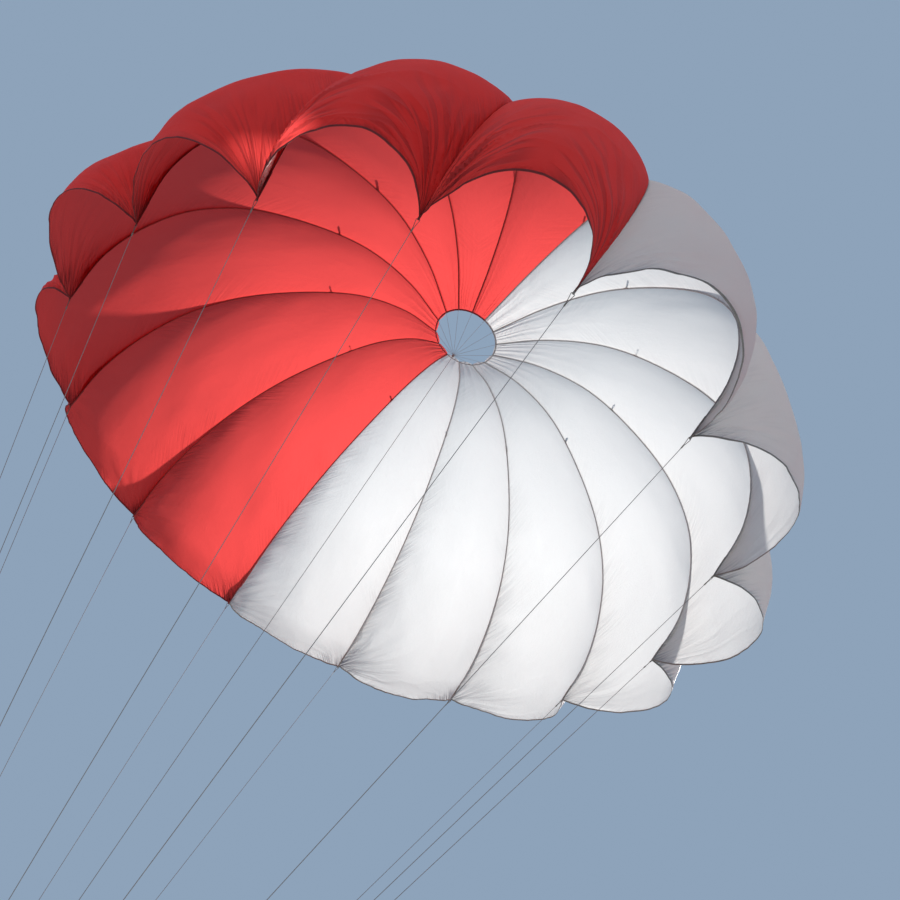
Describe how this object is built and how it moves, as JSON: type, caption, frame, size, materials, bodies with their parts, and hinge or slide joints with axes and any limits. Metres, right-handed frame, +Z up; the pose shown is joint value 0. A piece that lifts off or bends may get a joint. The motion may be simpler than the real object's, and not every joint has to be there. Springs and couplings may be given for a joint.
{
  "type": "inflated round parachute canopy with its lines and riser",
  "caption": "Inflated round parachute: half white, half red gores with scalloped hem, open vent with vent lines, suspension lines and centre line gathered into a riser with an eye.",
  "frame": {"origin": "middle of the seat of the riser's eye, where a harness connector pulls down", "axes": "+Z up along the canopy's axis, from the riser to the vent; -Y towards the first seam, one of the two where white cloth meets red; white gores on the +X side, red on the -X side"},
  "size_m": [4.425, 4.4691, 6.665],
  "materials": {
    "white_ripstop": "thin calendered nylon ripstop, lets light through",
    "red_ripstop": "thin calendered nylon ripstop, lets light through",
    "white_seam_tape": "woven nylon tape, stitched",
    "red_seam_tape": "woven nylon tape, stitched",
    "white_hem_tape": "woven nylon binding, stitched",
    "red_hem_tape": "woven nylon binding, stitched",
    "vent_tape": "woven nylon binding, stitched",
    "line": "braided cord",
    "webbing": "flat woven webbing"
  },
  "bodies": {
    "root": {"gore_01": "white_ripstop", "gore_02": "white_ripstop", "gore_03": "white_ripstop", "gore_04": "white_ripstop", "gore_05": "white_ripstop", "gore_06": "white_ripstop", "gore_07": "white_ripstop", "gore_08": "red_ripstop", "gore_09": "red_ripstop", "gore_10": "red_ripstop", "gore_11": "red_ripstop", "gore_12": "red_ripstop", "gore_13": "red_ripstop", "gore_14": "red_ripstop", "seam_tape_01": "white_seam_tape", "seam_tape_02": "white_seam_tape", "seam_tape_03": "white_seam_tape", "seam_tape_04": "white_seam_tape", "seam_tape_05": "white_seam_tape", "seam_tape_06": "white_seam_tape", "seam_tape_07": "white_seam_tape", "seam_tape_08": "red_seam_tape", "seam_tape_09": "red_seam_tape", "seam_tape_10": "red_seam_tape", "seam_tape_11": "red_seam_tape", "seam_tape_12": "red_seam_tape", "seam_tape_13": "red_seam_tape", "seam_tape_14": "red_seam_tape", "hem_binding_01": "white_hem_tape", "hem_binding_02": "white_hem_tape", "hem_binding_03": "white_hem_tape", "hem_binding_04": "white_hem_tape", "hem_binding_05": "white_hem_tape", "hem_binding_06": "white_hem_tape", "hem_binding_07": "white_hem_tape", "hem_binding_08": "red_hem_tape", "hem_binding_09": "red_hem_tape", "hem_binding_10": "red_hem_tape", "hem_binding_11": "red_hem_tape", "hem_binding_12": "red_hem_tape", "hem_binding_13": "red_hem_tape", "hem_binding_14": "red_hem_tape", "suspension_line_01": "line", "suspension_line_02": "line", "suspension_line_03": "line", "suspension_line_04": "line", "suspension_line_05": "line", "suspension_line_06": "line", "suspension_line_07": "line", "suspension_line_08": "line", "suspension_line_09": "line", "suspension_line_10": "line", "suspension_line_11": "line", "suspension_line_12": "line", "suspension_line_13": "line", "suspension_line_14": "line", "vent_binding": "vent_tape", "vent_lines": "line", "centre_line": "line", "riser": "webbing"}
  },
  "joints": []
}
